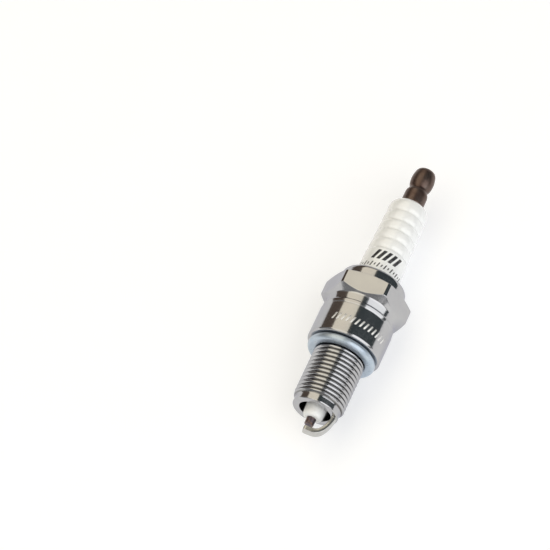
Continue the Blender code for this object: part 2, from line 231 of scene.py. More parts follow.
def mesh_object(name, points, faces, material):
    """A smooth-shaded object with doubled points merged and its faces turned outwards."""
    mesh = bpy.data.meshes.new(name)
    mesh.from_pydata(points, [], faces)
    bm = bmesh.new()
    bm.from_mesh(mesh)
    bmesh.ops.remove_doubles(bm, verts=bm.verts, dist=MERGE_DISTANCE)
    bmesh.ops.recalc_face_normals(bm, faces=bm.faces)
    bm.to_mesh(mesh)
    bm.free()
    mesh.shade_smooth()
    mesh.materials.append(material)
    piece = bpy.data.objects.new(name, mesh)
    bpy.context.scene.collection.objects.link(piece)
    return piece


def skin_rows(name, rows, material):
    """Joins rows of points, each running once round the axis."""
    columns = len(rows[0])
    points = [point for row in rows for point in row]
    faces = []
    for row in range(len(rows) - 1):
        start = row * columns
        for column in range(columns - 1):
            a = start + column
            faces.append((a, a + 1, a + 1 + columns, a + columns))
    return mesh_object(name, points, faces, material)


def skin_rings(name, rings, material):
    """A bar from rings of equally many points, with a flat face at each end."""
    size = len(rings[0])
    points = [point for ring in rings for point in ring]
    faces = []
    for start in range(0, len(points) - size, size):
        for corner in range(size):
            a = start + corner
            b = start + (corner + 1) % size
            faces.append((a, b, b + size, a + size))
    faces.append(tuple(range(size)))
    faces.append(tuple(range(len(points) - size, len(points))))
    return mesh_object(name, points, faces, material)


def rounded(corners, closed=True, steps=4):
    """An outline with rounded corners, from (y, radius, reach of the rounding) corners.

    Two extra points, just outside each rounding, hold the straight runs straight.
    """
    longest_share = 0.42
    support = 1.15
    points = []
    last = len(corners) - 1
    for index, (y, radius, reach) in enumerate(corners):
        here = Vector((y, radius))
        if reach == 0 or (not closed and index in (0, last)):
            points.append(here)
            continue
        before = Vector(corners[index - 1][:2]) - here
        after = Vector(corners[(index + 1) % len(corners)][:2]) - here
        reach = min(reach, longest_share * before.length, longest_share * after.length)
        start = here + before.normalized() * reach
        end = here + after.normalized() * reach
        points.append(here + before.normalized() * reach * support)
        for step in range(steps + 1):
            share = step / steps
            rest = 1.0 - share
            points.append(start * rest ** 2 + here * 2 * rest * share + end * share ** 2)
        points.append(here + after.normalized() * reach * support)
    return points


def turned_rows(outline, angles):
    return [[on_axis(angle, y, radius) for angle in angles] for y, radius in outline]


def turned(name, corners, material, columns=128, closed=True):
    """A turned piece from the corners of its outline."""
    outline = rounded(corners, closed)
    if closed:
        outline.append(outline[0])
    return skin_rows(name, turned_rows(outline, even_angles(columns)), material)


def helix_rows(angles, start_y, end_y, pitch, root, crest, stations):
    """Rows of a right-handed thread that fades in and out at its two ends."""
    length = end_y - start_y
    rows = []
    for turn in range(-1, math.ceil(length / pitch) + 1):
        for fraction, height in stations:
            row = []
            for angle in angles:
                along = pitch * (turn + fraction + (angle - angles[0]) / math.tau)
                along = min(max(along, 0.0), length)
                fade_in = THREAD_FADE_IN * along / pitch
                fade_out = THREAD_FADE_OUT * (length - along) / pitch
                fade = min(1.0, fade_in, fade_out)
                row.append(on_axis(angle, start_y + along, root + (crest - root) * height * fade))
            rows.append(row)
    return rows


def thread_stations(roundness, count=14):
    """(fraction of the pitch, height from 0 to 1) from one root to the next, over a round crest."""
    return [(step / count, math.sin(math.pi * step / count) ** roundness) for step in range(count)]


# Material nodes


class Nodes:
    """Short names for building one material."""

    def __init__(self, name):
        self.material = bpy.data.materials.new(name)
        self.material.use_nodes = True
        self.tree = self.material.node_tree
        self.shader = self.tree.nodes["Principled BSDF"]
        self.coordinates = self.add("ShaderNodeTexCoord").outputs["Object"]

    def add(self, kind, **settings):
        node = self.tree.nodes.new(kind)
        for key, value in settings.items():
            setattr(node, key, value)
        return node

    def link(self, source, target):
        self.tree.links.new(source, target)

    def noise(self, scale, detail=4.0, stretch=(1.0, 1.0, 1.0)):
        mapping = self.add("ShaderNodeMapping")
        mapping.inputs["Scale"].default_value = stretch
        self.link(self.coordinates, mapping.inputs["Vector"])
        node = self.add("ShaderNodeTexNoise")
        node.inputs["Scale"].default_value = scale
        node.inputs["Detail"].default_value = detail
        self.link(mapping.outputs["Vector"], node.inputs["Vector"])
        return node.outputs["Fac"]

    def ramp(self, value, stops):
        node = self.add("ShaderNodeValToRGB")
        elements = node.color_ramp.elements
        elements[0].position, elements[0].color = stops[0][0], (*stops[0][1], 1.0)
        elements[1].position, elements[1].color = stops[-1][0], (*stops[-1][1], 1.0)
        for position, colour in stops[1:-1]:
            elements.new(position).color = (*colour, 1.0)
        self.link(value, node.inputs["Fac"])
        return node.outputs["Color"]

    def spread(self, value, low, high, to_low, to_high):
        node = self.add("ShaderNodeMapRange")
        node.inputs["From Min"].default_value = low
        node.inputs["From Max"].default_value = high
        node.inputs["To Min"].default_value = to_low
        node.inputs["To Max"].default_value = to_high
        self.link(value, node.inputs["Value"])
        return node.outputs["Result"]

    def math(self, operation, first, second):
        node = self.add("ShaderNodeMath", operation=operation)
        for socket, value in zip(node.inputs, (first, second)):
            if isinstance(value, (int, float)):
                socket.default_value = value
            else:
                self.link(value, socket)
        return node.outputs["Value"]

    def mix(self, factor, first, second):
        node = self.add("ShaderNodeMix", data_type="RGBA")
        self.link(factor, node.inputs["Factor"])
        for socket, value in ((node.inputs["A"], first), (node.inputs["B"], second)):
            if isinstance(value, tuple):
                socket.default_value = (*value, 1.0)
            else:
                self.link(value, socket)
        return node.outputs["Result"]

    def axis_places(self):
        """Distance along the plug and distance from its axis, in metres."""
        split = self.add("ShaderNodeSeparateXYZ")
        self.link(self.coordinates, split.inputs["Vector"])
        x_square = self.math("MULTIPLY", split.outputs["X"], split.outputs["X"])
        z_square = self.math("MULTIPLY", split.outputs["Z"], split.outputs["Z"])
        across = self.math("SQRT", self.math("ADD", x_square, z_square), 0)
        return split.outputs["Y"], across

    def bump(self, height, strength, distance, normal=None):
        node = self.add("ShaderNodeBump")
        node.inputs["Strength"].default_value = strength
        node.inputs["Distance"].default_value = distance
        self.link(height, node.inputs["Height"])
        if normal is not None:
            self.link(normal, node.inputs["Normal"])
        return node.outputs["Normal"]

    def finish(self, **values):
        for key, value in values.items():
            socket = self.shader.inputs[key.replace("_", " ")]
            if isinstance(value, (int, float)):
                socket.default_value = value
            elif isinstance(value, tuple):
                socket.default_value = (*value, 1.0)
            else:
                self.link(value, socket)
        return self.material


def nickel_plating():
    """Bright plating: faint turning rings, small stains, and painted shade darkening the thread roots."""
    n = Nodes("bright_nickel_plating")
    along, across = n.axis_places()
    stain = n.ramp(n.noise(260.0), [(0.35, (0.455, 0.455, 0.47)), (0.7, (0.485, 0.487, 0.495))])
    # Masks for the painted shade in the thread roots: the threaded length, the band round the roots, and
    # the outside of the shell above the pilot.
    in_thread = n.spread(along, (THREAD_END_Y + 0.07) * MM, (THREAD_END_Y - 0.13) * MM, 0.0, 1.0)
    root_shade_band = n.spread(across, 0.0067, 0.0064, 0.0, 1.0)
    outside = n.spread(across, 0.0055, 0.0059, 0.0, 1.0)
    root = n.math("MULTIPLY", n.math("MULTIPLY", in_thread, root_shade_band), outside)
    above_pilot = n.spread(along, THREAD_START_Y * MM, (THREAD_START_Y + 0.4) * MM, 0.0, 1.0)
    root = n.math("MULTIPLY", root, above_pilot)
    # Painted shade: the thread roots are coloured a near-black grey.
    colour = n.mix(root, stain, (0.13, 0.126, 0.118))
    rings = n.noise(9000.0, 2.0, (0.004, 1.0, 0.004))
    roughness = n.spread(n.noise(2500.0, 3.0), 0.3, 0.7, 0.10, 0.16)
    roughness = n.math("ADD", roughness, n.math("MULTIPLY", root, 0.16))
    normal = n.bump(rings, 0.10, 0.00001)
    normal = n.bump(n.noise(1500.0, 3.0), 0.03, 0.00002, normal)
    return n.finish(Base_Color=colour, Metallic=1.0, Roughness=roughness, Normal=normal,
                    Specular_Tint=(0.74, 0.74, 0.79))


def frosted_nickel():
    """The shell's marks, where the plating is left matt."""
    n = Nodes("frosted_nickel")
    grain = n.noise(14000.0, 3.0)
    colour = n.ramp(grain, [(0.3, (0.70, 0.70, 0.69)), (0.7, (0.84, 0.84, 0.83))])
    roughness = n.spread(grain, 0.3, 0.7, 0.42, 0.60)
    normal = n.bump(grain, 0.5, 0.00001)
    return n.finish(Base_Color=colour, Metallic=0.35, Roughness=roughness, Normal=normal)


def zinc_plating():
    n = Nodes("satin_zinc_plating")
    cloud = n.noise(700.0, 5.0)
    stops = [(0.3, (0.43, 0.51, 0.60)), (0.6, (0.50, 0.57, 0.65)), (0.8, (0.56, 0.62, 0.67))]
    colour = n.ramp(cloud, stops)
    roughness = n.spread(n.noise(3000.0), 0.3, 0.7, 0.26, 0.38)
    normal = n.bump(n.noise(2500.0, 4.0), 0.25, 0.00002)
    return n.finish(Base_Color=colour, Metallic=0.7, Roughness=roughness, Normal=normal)


def glazed_ceramic():
    """White glaze with a bare matt nose at the firing end."""
    n = Nodes("white_glazed_ceramic")
    along, _ = n.axis_places()
    bare = n.spread(along, 0.0, -0.001, 0.0, 1.0)
    glaze = n.ramp(n.noise(260.0, 3.0), [(0.3, (0.88, 0.895, 0.90)), (0.7, (0.90, 0.91, 0.91))])
    alumina = n.ramp(n.noise(2500.0, 5.0), [(0.3, (0.80, 0.815, 0.82)), (0.7, (0.87, 0.88, 0.88))])
    colour = n.mix(bare, glaze, alumina)
    glaze_roughness = n.spread(n.noise(900.0), 0.3, 0.7, 0.07, 0.13)
    roughness = n.math("ADD", glaze_roughness, n.math("MULTIPLY", bare, 0.42))
    normal = n.bump(n.noise(420.0, 2.0), 0.10, 0.00006)
    return n.finish(Base_Color=colour, Roughness=roughness, Normal=normal, IOR=1.6, Coat_Weight=0.4,
                    Coat_Roughness=0.05)


def fired_ink():
    n = Nodes("fired_black_ink")
    colour = n.ramp(n.noise(5000.0, 4.0), [(0.3, (0.012, 0.012, 0.014)), (0.75, (0.035, 0.035, 0.04))])
    roughness = n.spread(n.noise(6000.0), 0.3, 0.7, 0.22, 0.36)
    return n.finish(Base_Color=colour, Roughness=roughness)


def dark_bronze():
    n = Nodes("dark_bronze_plating")
    cloud = n.noise(420.0, 4.0)
    stops = [(0.3, (0.11, 0.07, 0.058)), (0.55, (0.14, 0.10, 0.085)), (0.75, (0.165, 0.13, 0.115))]
    colour = n.ramp(cloud, stops)
    roughness = n.spread(n.noise(2600.0), 0.3, 0.7, 0.33, 0.44)
    normal = n.bump(n.noise(12000.0, 2.0, (0.01, 1.0, 0.01)), 0.15, 0.00001)
    return n.finish(Base_Color=colour, Metallic=1.0, Roughness=roughness, Normal=normal)


def plain_metal(name, dark, light, roughness_low, roughness_high, scale=1200.0):
    """Bare metal with mottled colour and a fine grain."""
    n = Nodes(name)
    colour = n.ramp(n.noise(scale, 5.0), [(0.3, dark), (0.7, light)])
    roughness = n.spread(n.noise(scale * 2.5), 0.3, 0.7, roughness_low, roughness_high)
    normal = n.bump(n.noise(scale * 4.0, 4.0), 0.22, 0.00002)
    return n.finish(Base_Color=colour, Metallic=1.0, Roughness=roughness, Normal=normal)


def centre_alloy():
    """Dark heat-tinted nickel alloy, between violet grey and brown."""
    n = Nodes("dark_centre_alloy")
    tint = n.noise(900.0, 4.0)
    stops = [(0.35, (0.085, 0.07, 0.10)), (0.5, (0.14, 0.115, 0.13)), (0.65, (0.21, 0.14, 0.11))]
    roughness = n.spread(n.noise(4000.0), 0.3, 0.7, 0.28, 0.42)
    normal = n.bump(n.noise(6000.0, 4.0), 0.3, 0.00002)
    return n.finish(Base_Color=n.ramp(tint, stops), Metallic=1.0, Roughness=roughness, Normal=normal)


def powder(name, dark, light, scale, roughness):
    """Matt mineral surface with visible grains."""
    n = Nodes(name)
    grain = n.noise(scale, 6.0)
    normal = n.bump(grain, 0.6, 0.00004)
    colour = n.ramp(grain, [(0.3, dark), (0.7, light)])
    return n.finish(Base_Color=colour, Roughness=roughness, Normal=normal)


def pale_floor():
    """Near-white paper that glows a little, as a lit studio ground does."""
    n = Nodes("pale_floor")
    colour = n.ramp(n.noise(40.0, 3.0), [(0.3, (0.595, 0.595, 0.60)), (0.7, (0.605, 0.605, 0.61))])
    return n.finish(Base_Color=colour, Roughness=0.7, Emission_Color=(0.975, 0.985, 1.0),
                    Emission_Strength=0.48)


# Metal shell


def hex_angles():
    """Column angles, close together at the edges of the hexagon's flats."""
    edge = math.degrees(math.acos(HEX_HALF_WIDTH / HEX_CORNER_RADIUS))
    near = [-30.0, -edge - 0.5, -edge, -edge + 0.5, -edge + 1.3]
    inner = edge - 1.3
    between = [inner * (2 * step / HEX_COLUMNS - 1) for step in range(1, HEX_COLUMNS)]
    far = [inner, edge - 0.5, edge, edge + 0.5]
    offsets = near + between + far
    angles = [math.radians(60 * flat + offset) for flat in range(6) for offset in offsets]
    angles.append(angles[0] + math.tau)
    return angles


def hex_radius(angle):
    """Distance from the axis to the hexagon, with its corners turned round and softened."""
    off_middle = angle - round(angle / math.radians(60)) * math.radians(60)
    flat = HEX_HALF_WIDTH / math.cos(off_middle)
    to_flat = math.exp(-(flat - HEX_BLEND_RADIUS) / HEX_BLEND_SOFTNESS)
    to_corner = math.exp(-(HEX_CORNER_RADIUS - HEX_BLEND_RADIUS) / HEX_BLEND_SOFTNESS)
    return -HEX_BLEND_SOFTNESS * math.log(to_flat + to_corner) + HEX_BLEND_RADIUS


def shell_upper_corners(radius):
    """Corners from the thread relief, over the hexagon at this radius, to the crimped lip."""
    over = radius - HEX_HALF_WIDTH
    return [
        (THREAD_END_Y + 0.15, RELIEF_RADIUS, 0.05),
        (0.0, RELIEF_RADIUS, 0.12),
        (0.0, BODY_RADIUS - 0.45, 0.1),
        (0.1, BODY_RADIUS - 0.26, 0.1),
        (0.46, BODY_RADIUS, 0.12),
        (BODY_TOP_Y, BODY_RADIUS, 0.12),
        (BODY_TOP_Y + 0.12, BODY_RADIUS - 0.50, 0.06),
        (BODY_TOP_Y + 0.32, BODY_RADIUS - 0.50, 0.06),
        (BODY_TOP_Y + 0.55, BODY_RADIUS - 0.36, 0.12),
        (BEAD_TOP_Y, BODY_RADIUS - 0.13, 0.14),
        (BEAD_TOP_Y + 0.22, BODY_RADIUS - 0.55, 0.08),
        (NECK_Y - 0.3, BODY_RADIUS - 0.66, 0.12),
        (NECK_Y, BODY_RADIUS - 0.60, 0.2),
        (NECK_TOP_Y, BODY_RADIUS - 0.38, 0.5),
        (NECK_TOP_Y + 0.3, BODY_RADIUS - 0.22, 0.3),
        (HEX_LOWER_ARC_Y + HEX_LOWER_SLOPE * over, radius, 0.10),
        (HEX_UPPER_ARC_Y - HEX_UPPER_SLOPE * over, radius, 0.10),
        (COLLAR_FOOT_Y, COLLAR_RADIUS + 0.75, 0.12),
        (COLLAR_FOOT_Y + 0.04, COLLAR_RADIUS, 0.14),
        (SHELL_HIGH.y, COLLAR_RADIUS, COLLAR_ROUNDING),
        (SHELL_HIGH.y - 0.12, NECKED_RADIUS + 0.03, 0.25),
    ]


def shell_bore_corners():
    """Corners from inside the lip, down the bore and round the pilot to the thread's start."""
    return [
        (SHELL_HIGH.y - 1.2, NECKED_RADIUS + 0.03, 0.1),
        (SHELL_HIGH.y - 1.8, CHAMBER_RADIUS, 0.1),
        (2.6, CHAMBER_RADIUS, 0.2),
        (0.9, SEAT_BORE_RADIUS, 0.2),
        (-4.2, SEAT_BORE_RADIUS, 0.1),
        (-5.0, LEDGE_RADIUS, 0.1),
        (-5.9, LEDGE_RADIUS, 0.1),
        (-6.3, MOUTH_RADIUS, 0.1),
        (SHELL_LOW.y + 0.12, MOUTH_RADIUS, 0.1),
        (SHELL_LOW.y, MOUTH_RADIUS + 0.12, 0.06),
        (SHELL_LOW.y, PILOT_RADIUS - PILOT_BEVEL, 0.1),
        (SHELL_LOW.y + PILOT_BEVEL, PILOT_RADIUS, 0.1),
        (THREAD_START_Y - 0.25, PILOT_RADIUS, 0.0),
        (THREAD_START_Y - 0.12, PILOT_RADIUS, 0.0),
        (THREAD_START_Y - 0.05, PILOT_RADIUS, 0.0),
    ]


def make_shell(material):
    """The helical thread, then one outline per column, since the hexagon isn't round."""
    angles = hex_angles()
    stations = thread_stations(THREAD_ROUNDNESS)
    rows = helix_rows(angles, THREAD_START_Y, THREAD_END_Y, THREAD_PITCH,
                      THREAD_ROOT_RADIUS, THREAD_CREST_RADIUS, stations)
    outlines = []
    for angle in angles:
        corners = shell_upper_corners(hex_radius(angle)) + shell_bore_corners()
        outlines.append(rounded(corners, closed=False))
    for index in range(len(outlines[0])):
        row = [on_axis(angle, *outline[index]) for angle, outline in zip(angles, outlines)]
        rows.append(row)
    rows.append(rows[0])
    shell = skin_rows("shell", rows, material)
    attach(shell, "plug")
    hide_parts("metal_shell")


# Marks on the shell and the insulator


def curved_patch(points, faces, angle, y, width, height, slant, radius):
    """Adds a thin solid bent round the axis; its slant shifts its upper edge sideways."""
    across, up = 8, 2
    first = len(points)
    for layer in (radius - MARK_RELIEF, radius + MARK_RELIEF):
        for row in range(up + 1):
            for column in range(across + 1):
                share_up = row / up - 0.5
                sideways = width * (column / across - 0.5) + slant * height * share_up
                points.append(on_axis(angle + sideways / radius, y + height * share_up, layer))
    line = across + 1
    layer_size = line * (up + 1)
    for row in range(up):
        for column in range(across):
            a = first + row * line + column
            b = a + layer_size
            faces.append((a, a + 1, a + 1 + line, a + line))
            faces.append((b, b + line, b + 1 + line, b + 1))
    border = [first + column for column in range(line)]
    border += [first + row * line + across for row in range(1, up + 1)]
    border += [first + up * line + column for column in range(across - 1, -1, -1)]
    border += [first + row * line for row in range(up - 1, 0, -1)]
    for here, following in zip(border, border[1:] + border[:1]):
        faces.append((here, here + layer_size, following + layer_size, following))


def mark_row(start, step, count, y, width, heights, slant):
    """Marks side by side, each as (degrees round the axis, y, width, height, slant)."""
    return [(start + step * mark, y, width, heights[mark % len(heights)], slant) for mark in range(count)]


def make_marks(name, marks, radius, material):
    """One piece from plain marks, which stand in for lettering."""
    points, faces = [], []
    for degrees, y, width, height, slant in marks:
        curved_patch(points, faces, math.radians(degrees), y, width, height, slant, radius)
    piece = mesh_object(name, points, faces, material)
    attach(piece, "plug")


# Insulator


def rib_corners():
    corners = []
    for rib in range(RIB_COUNT):
        groove_y = RIB_START_Y + rib * RIB_PITCH
        crest = RIB_CREST_RADIUS - RIB_CREST_TAPER * rib
        corners.append((groove_y, crest - RIB_GROOVE_DEPTH, 0.3))
        corners.append((groove_y + 0.22 * RIB_PITCH, crest - 0.04, 0.35))
        corners.append((groove_y + 0.5 * RIB_PITCH, crest + 0.05, 0.6))
        corners.append((groove_y + 0.8 * RIB_PITCH, crest - 0.04, 0.35))
    return corners


def make_insulator(material):
    """The outside from the firing end to the terminal end, then the bore back again."""
    top = INSULATOR_HIGH.y
    tip = INSULATOR_LOW.y
    corners = [
        (tip, TIP_BORE_RADIUS, 0.03),
        (tip, 1.75, 0.2),
        (tip + 0.22, 2.3, 0.35),
        (tip + 0.85, 2.64, 0.45),
        (tip + 2.2, 2.74, 0.6),
        (-8.0, 3.35, 0.5),
        (-4.05, 3.55, 0.1),
        (-3.17, LOWER_SEAT_RADIUS, 0.1),
        (1.2, LOWER_SEAT_RADIUS, 0.2),
        (2.95, SHOULDER_RADIUS, 0.2),
        (13.0, SHOULDER_RADIUS, 0.2),
        (14.2, NECKED_RADIUS, 0.2),
        (RIB_START_Y - 0.7, NECKED_RADIUS, 0.5),
    ]
    corners += rib_corners()
    corners += [
        (top - 1.4, 5.12, 0.6),
        (top - 0.45, 4.45, 0.6),
        (top, 3.2, 0.3),
        (top, STUD_BORE_RADIUS + 0.2, 0.08),
        (top - 0.2, STUD_BORE_RADIUS, 0.08),
        (-7.7, STUD_BORE_RADIUS, 0.1),
        (-8.2, CORE_BORE_RADIUS, 0.1),
        (tip + 1.2, CORE_BORE_RADIUS, 0.1),
        (tip + 1.0, TIP_BORE_RADIUS, 0.05),
    ]
    insulator = turned("insulator_body", corners, material, columns=160)
    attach(insulator, "plug")
    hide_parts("insulator")


# Terminal, stud and centre electrode


def make_terminal_nut(material):
    """Barrel, neck and bulb over a blind bore."""
    base = NUT_LOW.y
    top = NUT_HIGH.y
    outside = [
        (base, NUT_BORE_RADIUS, 0.05),
        (base, NUT_RADIUS - 0.15, 0.1),
        (base + 0.25, NUT_RADIUS, 0.15),
        (base + 3.6, NUT_RADIUS, 0.25),
        (base + 4.1, 2.98, 0.25),
        (base + 4.85, 2.58, 0.3),
        (base + 5.35, NUT_NECK_RADIUS, 0.3),
        (base + 6.3, 2.95, 0.5),
        (base + 7.4, NUT_BULB_RADIUS, 0.6),
        (base + 8.9, NUT_BULB_RADIUS, 0.7),
        (base + 10.5, 2.82, 0.7),
        (base + 11.25, 2.4, 0.4),
        (top, NUT_TOP_RADIUS, 0.12),
        (top, 0.0, 0.0),
    ]
    outline = rounded(outside, closed=False)
    outline.append(Vector((top - NUT_TOP_THICKNESS, 0.0)))
    outline.append(Vector((STUD_HIGH.y + 0.6, NUT_BORE_RADIUS)))
    outline.append(outline[0])
    nut = skin_rows("terminal_cap_nut", turned_rows(outline, even_angles(128)), material)
    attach(nut, "terminal_nut")
    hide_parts("terminal_nut")


def make_terminal_stud(material):
    """Steel rod, grooved where the glass grips it, with its fine thread under the nut."""
    angles = even_angles(96)
    start = STUD_LOW.y
    lower = [(start, 0.0, 0.0), (start, STUD_SHANK_RADIUS, 0.1), (start + 0.3, STUD_GRIP_RADIUS, 0.1)]
    for groove in range(STUD_GROOVE_COUNT):
        y = start + 0.7 + groove * STUD_GROOVE_PITCH
        lower += [(y, STUD_GRIP_RADIUS, 0.06), (y + 0.15, STUD_GROOVE_RADIUS, 0.06)]
        lower += [(y + 0.35, STUD_GROOVE_RADIUS, 0.06), (y + 0.5, STUD_GRIP_RADIUS, 0.06)]
    lower += [(start + 4.2, STUD_SHANK_RADIUS, 0.15), (NUT_LOW.y - 0.3, STUD_SHANK_RADIUS, 0.1)]
    lower += [(NUT_LOW.y, STUD_ROOT_RADIUS, 0.05)]
    rows = turned_rows(rounded(lower, closed=False), angles)
    stations = thread_stations(STUD_ROUNDNESS, count=8)
    rows += helix_rows(angles, NUT_LOW.y, STUD_HIGH.y - 0.4, STUD_PITCH,
                       STUD_ROOT_RADIUS, STUD_CREST_RADIUS, stations)
    end = [(STUD_HIGH.y - 0.38, STUD_ROOT_RADIUS, 0.0), (STUD_HIGH.y, 1.35, 0.1), (STUD_HIGH.y, 0.0, 0.0)]
    rows += turned_rows(rounded(end, closed=False), angles)
    stud = skin_rows("threaded_stud", rows, material)
    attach(stud, "plug")
    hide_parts("terminal_stud")


def make_centre_electrode(material):
    """A rod with a wider head, hollow from the head for its copper core."""
    tip = CENTRE_LOW.y
    corners = [
        (tip, 0.0, 0.0),
        (tip, CENTRE_RADIUS - 0.03, 0.14),
        (tip + 0.6, CENTRE_RADIUS, 0.2),
        (-7.6, CENTRE_RADIUS, 0.1),
        (-7.15, CENTRE_HEAD_RADIUS, 0.1),
        (CENTRE_HIGH.y, CENTRE_HEAD_RADIUS, 0.1),
        (CENTRE_HIGH.y, CENTRE_CORE_RADIUS, 0.05),
        (tip + CENTRE_CAP_LENGTH, CENTRE_CORE_RADIUS, 0.05),
        (tip + CENTRE_CAP_LENGTH, 0.0, 0.0),
    ]
    electrode = turned("centre_rod", corners, material, columns=96, closed=False)
    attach(electrode, "plug")
    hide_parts("centre_electrode")


# Gasket


def make_gasket(material):
    """Folded crush washer, pressed a little uneven along its folds."""
    front = GASKET_LOW.y
    back = GASKET_HIGH.y + GASKET_BACK_LIFT
    outer = GASKET_HIGH.z
    half = (back - front) / 2
    middle = (front + back) / 2
    bend = outer - half
    outline = []
    for step in range(GASKET_OUTER_STEPS + 1):
        angle = math.radians(-90 + 180 * step / GASKET_OUTER_STEPS)
        outline.append(Vector((middle + half * math.sin(angle), bend + half * math.cos(angle))))
    outline.append(Vector((back, 7.35)))
    outline.append(Vector((back - 0.06, 7.05)))
    outline.append(Vector((back - GASKET_WALL, 6.95)))
    outline.append(Vector((back - GASKET_WALL - 0.02, 7.4)))
    inner_half = half - GASKET_WALL
    for step in range(GASKET_INNER_STEPS + 1):
        angle = math.radians(90 - 180 * step / GASKET_INNER_STEPS)
        y = middle + inner_half * math.sin(angle)
        outline.append(Vector((y, bend + inner_half * math.cos(angle))))
    inner = [(front + GASKET_WALL, 7.15), (front + GASKET_WALL + 0.25, 7.04), (middle + 0.2, 7.0),
             (middle + 0.26, 6.82), (middle + 0.2, 6.64), (front + 0.6, 6.62), (front + 0.3, 6.64),
             (front + 0.12, 6.76), (front + 0.03, 6.98), (front, 7.25), (front + 0.015, 7.75)]
    outline += [Vector(point) for point in inner]
    outline.append(outline[0])
    angles = even_angles(144)
    rows = []
    for y, radius in outline:
        row = []
        for angle in angles:
            wave = sum(size * math.sin(count * angle + start) for size, count, start in GASKET_WAVES)
            shift = wave if radius < GASKET_SOFT_RADIUS else wave * 0.4
            row.append(on_axis(angle, y + 0.5 * shift, radius + shift))
        rows.append(row)
    gasket = skin_rows("crush_gasket", rows, material)
    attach(gasket, "gasket")
    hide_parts("gasket")


# Ground electrode and its weld


def bezier(p0, p1, p2, p3, share):
    rest = 1.0 - share
    weights = (rest ** 3, 3 * rest ** 2 * share, 3 * rest * share ** 2, share ** 3)
    return Vector([sum(w * p[axis] for w, p in zip(weights, (p0, p1, p2, p3))) for axis in range(2)])


def hook_frame():
    outwards = Vector((math.sin(HOOK_SIDE_ANGLE), 0.0, math.cos(HOOK_SIDE_ANGLE)))
    sideways = Vector((math.cos(HOOK_SIDE_ANGLE), 0.0, -math.sin(HOOK_SIDE_ANGLE)))
    return outwards, sideways, Vector((0.0, 1.0, 0.0))


def bar_section(width, thickness, edge, steps=4):
    """Points round a bar's section, with rounded edges, as (across, out)."""
    points = []
    corners = ((1, 1), (-1, 1), (-1, -1), (1, -1))
    for turn, (side, out) in enumerate(corners):
        centre = Vector((side * (width / 2 - edge), out * (thickness / 2 - edge)))
        for step in range(steps + 1):
            angle = math.radians(90 * turn + 90 * step / steps)
            points.append(centre + Vector((math.cos(angle), math.sin(angle))) * edge)
    return points


def hook_path():
    """(middle, width, thickness) along the bent bar, whose free end has rounded corners."""
    path = []
    for step in range(HOOK_BEND_STEPS + 1):
        path.append((bezier(HOOK_ROOT, *HOOK_BEND, step / HOOK_BEND_STEPS), HOOK_WIDTH, HOOK_THICKNESS))
    bend_end = path[-1][0]
    heading = (Vector(HOOK_FREE_END) - bend_end).normalized()
    corner = Vector(HOOK_FREE_END) - heading * HOOK_END_ROUNDING
    for step in range(1, HOOK_BAR_STEPS + 1):
        path.append((bend_end.lerp(corner, step / HOOK_BAR_STEPS), HOOK_WIDTH, HOOK_THICKNESS))
    for step in range(1, HOOK_END_STEPS + 1):
        angle = math.radians(88 * step / HOOK_END_STEPS)
        loss = 1.0 - math.cos(angle)
        middle = corner + heading * HOOK_END_ROUNDING * math.sin(angle)
        width = HOOK_WIDTH - 2 * HOOK_END_ROUNDING * loss
        path.append((middle, width, HOOK_THICKNESS - HOOK_END_THINNING * loss))
    return path


def make_ground_electrode(material):
    outwards, sideways, along_y = hook_frame()
    path = hook_path()
    rings = []
    for index, (centre, width, thickness) in enumerate(path):
        heading = path[min(index + 1, len(path) - 1)][0] - path[max(index - 1, 0)][0]
        heading.normalize()
        if index == 0:
            heading = Vector((0.0, -1.0))
        normal = outwards * -heading[1] + along_y * heading[0]
        middle = outwards * centre[0] + along_y * centre[1]
        section = bar_section(width, thickness, HOOK_EDGE_ROUNDING)
        rings.append([(middle + sideways * across + normal * out) * MM for across, out in section])
    hook = skin_rings("ground_hook", rings, material)
    hook.data.set_sharp_from_angle(angle=math.radians(60))
    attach(hook, "ground_electrode")
    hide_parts("ground_electrode")


def make_weld(material):
    """The upset rim of metal where the bar is welded to the shell's end."""
    outwards, sideways, along_y = hook_frame()
    rings = []
    for y, extra in WELD_LAYERS:
        ring = []
        for across, out in bar_section(HOOK_WIDTH + 2 * extra, HOOK_THICKNESS + 2 * extra,
                                       WELD_ROUNDING + extra):
            place = outwards * (HOOK_ROOT[0] + out) + sideways * across + along_y * (SHELL_LOW.y + y)
            ring.append(place * MM)
        rings.append(ring)
    weld = skin_rings("electrode_weld", rings, material)
    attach(weld, "plug")


# Pieces kept from the frame


def dress_inner_pieces(steel):
    """Materials for the pieces that keep their own shape inside the plug."""
    copper = plain_metal("bare_copper", (0.66, 0.27, 0.15), (0.86, 0.46, 0.30), 0.22, 0.38)
    glass = powder("fused_copper_glass", (0.20, 0.12, 0.08), (0.42, 0.27, 0.17), 3000.0, 0.42)
    resistor = powder("resistor_mass", (0.02, 0.02, 0.022), (0.07, 0.065, 0.06), 4000.0, 0.75)
    talc = powder("pressed_talc", (0.58, 0.57, 0.54), (0.78, 0.77, 0.74), 5000.0, 0.92)
    looks = {
        "copper_core": copper,
        "lower_glass_seal": glass,
        "upper_glass_seal": glass,
        "resistor": resistor,
        "talc_ring": talc,
        "packing_washer": steel,
        "lower_wire_ring": steel,
        "upper_wire_ring": steel,
    }
    for node, material in looks.items():
        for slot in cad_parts[node].material_slots:
            slot.material = material


# Setting


def make_floor():
    size = FLOOR_HALF_SIZE
    corners = ((-size, -size), (size, -size), (size, size), (-size, size))
    points = [(x, y, FLOOR_Z) for x, y in corners]
    mesh = bpy.data.meshes.new("floor")
    mesh.from_pydata(points, [], [(0, 1, 2, 3)])
    mesh.materials.append(pale_floor())
    floor = bpy.data.objects.new("floor", mesh)
    bpy.context.scene.collection.objects.link(floor)


def direction(azimuth, elevation):
    """From the plug towards a light or the camera; azimuth 0 is -Y and 90 is +X, in degrees."""
    a, e = math.radians(azimuth), math.radians(elevation)
    return Vector((math.sin(a) * math.cos(e), -math.cos(a) * math.cos(e), math.sin(e)))


